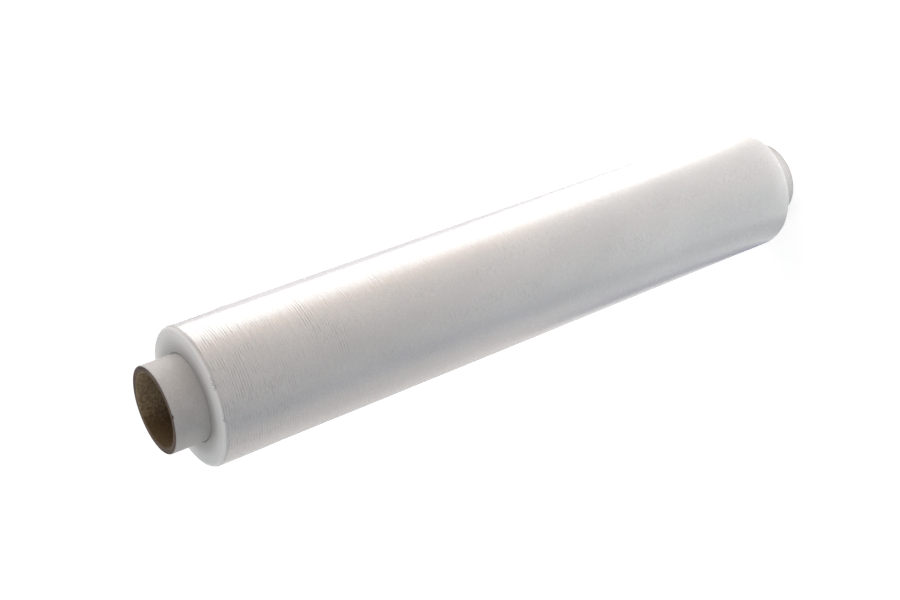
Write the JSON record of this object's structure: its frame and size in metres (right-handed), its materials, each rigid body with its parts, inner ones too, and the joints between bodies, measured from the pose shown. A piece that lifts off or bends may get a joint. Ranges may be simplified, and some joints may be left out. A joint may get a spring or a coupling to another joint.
{
  "type": "cling film roll",
  "caption": "Roll of clear stretch food film wound on a paperboard tube whose bare ends stand proud of the film.",
  "frame": {"origin": "centre of the core tube's bottom rim, which is the bottom centre of the box", "axes": "+Z along the roll's axis, up through the bore; +X and +Y square to it; the free end of the outer turn lies about 70 degrees round from +X"},
  "size_m": [0.0728, 0.0726, 0.416],
  "materials": {
    "paperboard": "white outer ply, bare brown board at the cut ends and in the bore",
    "cling_film": "milky translucent, soft gloss"
  },
  "bodies": {
    "root": {"core_tube": "paperboard", "film_winding": "cling_film"}
  },
  "joints": []
}
